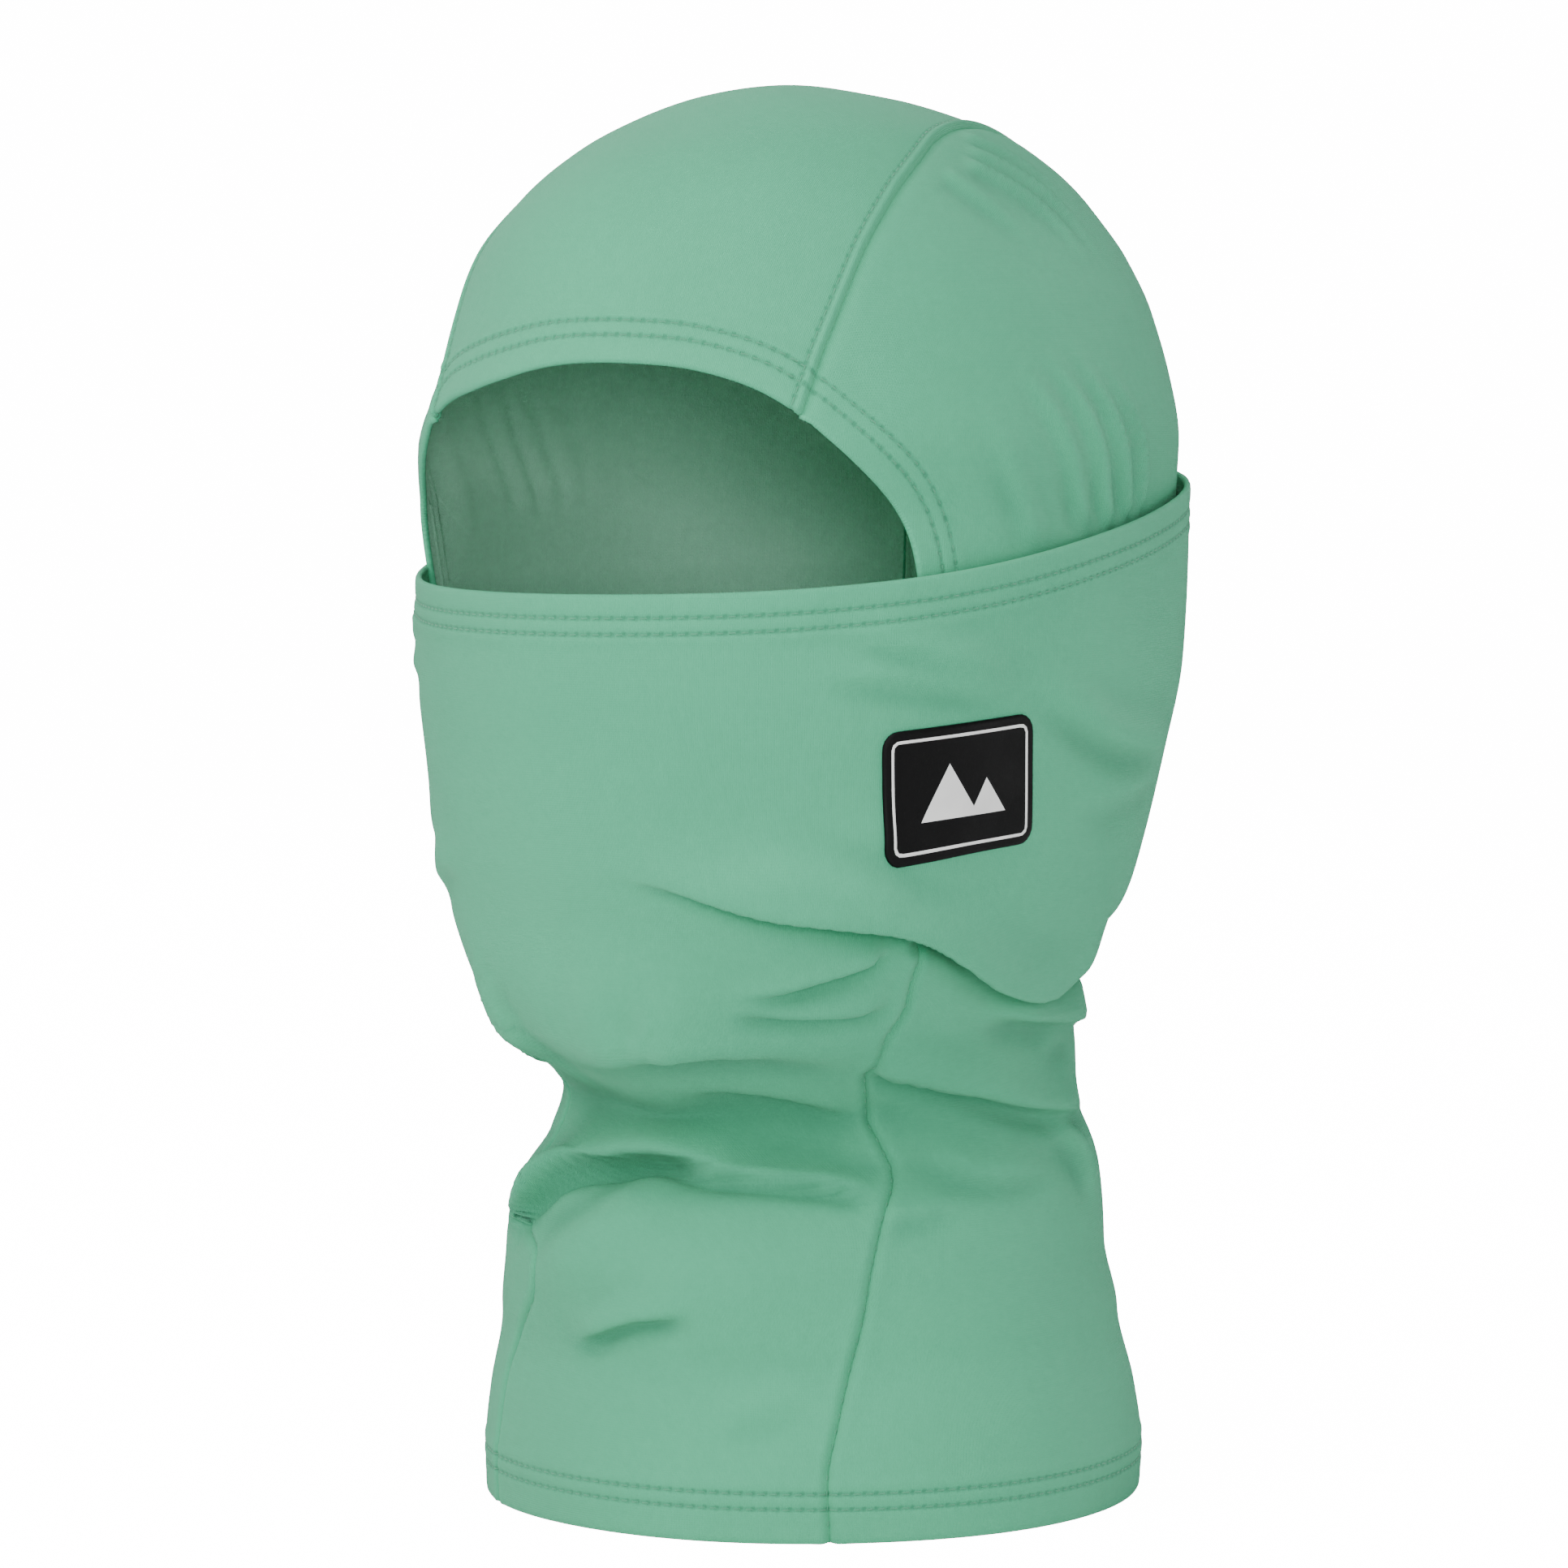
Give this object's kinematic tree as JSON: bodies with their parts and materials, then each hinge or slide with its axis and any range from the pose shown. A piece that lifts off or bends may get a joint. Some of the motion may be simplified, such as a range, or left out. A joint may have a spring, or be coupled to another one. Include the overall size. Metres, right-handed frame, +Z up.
{
  "type": "ski balaclava",
  "caption": "Stretch-knit ski balaclava: neck tube with a pull-down face mask and a sewn-in three-panel hood that pushes back, with a face opening and a small cheek label.",
  "frame": {"origin": "middle of the bottom hem's box, on the plane that the hem rests on", "axes": "+Z up through the crown, the face looks along -Y, +X is the wearer's left"},
  "size_m": [0.1618, 0.2081, 0.321],
  "materials": {
    "knit": "soft matte brushed stretch knit, sage green",
    "thread": "polyester sewing thread, slightly darker sage green",
    "label": "satin black moulded label",
    "label_print": "white raised print",
    "care_label": "blank white satin tape"
  },
  "bodies": {
    "neck": {"throat_panel": "knit", "mask_gather_panel": "knit", "neck_back_panel": "knit", "hood_lower_panel": "knit", "jaw_seam_stitching": "thread", "neck_seam_stitching_left": "thread", "neck_seam_stitching_right": "thread", "bottom_hem_stitching": "thread", "care_label": "care_label"},
    "mask": {"mask_panel": "knit", "mask_hem_stitching": "thread", "mask_back_seam_stitching": "thread", "cheek_label": "label", "cheek_label_print": "label_print"},
    "hood": {"crown_centre_panel": "knit", "crown_side_panel_left": "knit", "crown_side_panel_right": "knit", "crown_seam_stitching_left": "thread", "crown_seam_stitching_right": "thread", "face_opening_stitching": "thread"}
  },
  "joints": [
    {"name": "mask_pull_down", "type": "slide", "parent": "neck", "child": "mask", "axis": [0, 0, -1], "range_m": [0, 0.055], "deforming": ["mask_gather_panel"]},
    {"name": "hood_push_back", "type": "hinge", "parent": "neck", "child": "hood", "pos_m": [0, 0.01, 0.215], "axis": [1, 0, 0], "range_deg": [-35, 0], "deforming": ["crown_centre_panel", "crown_side_panel_left", "crown_side_panel_right", "crown_seam_stitching_left", "crown_seam_stitching_right"]}
  ]
}
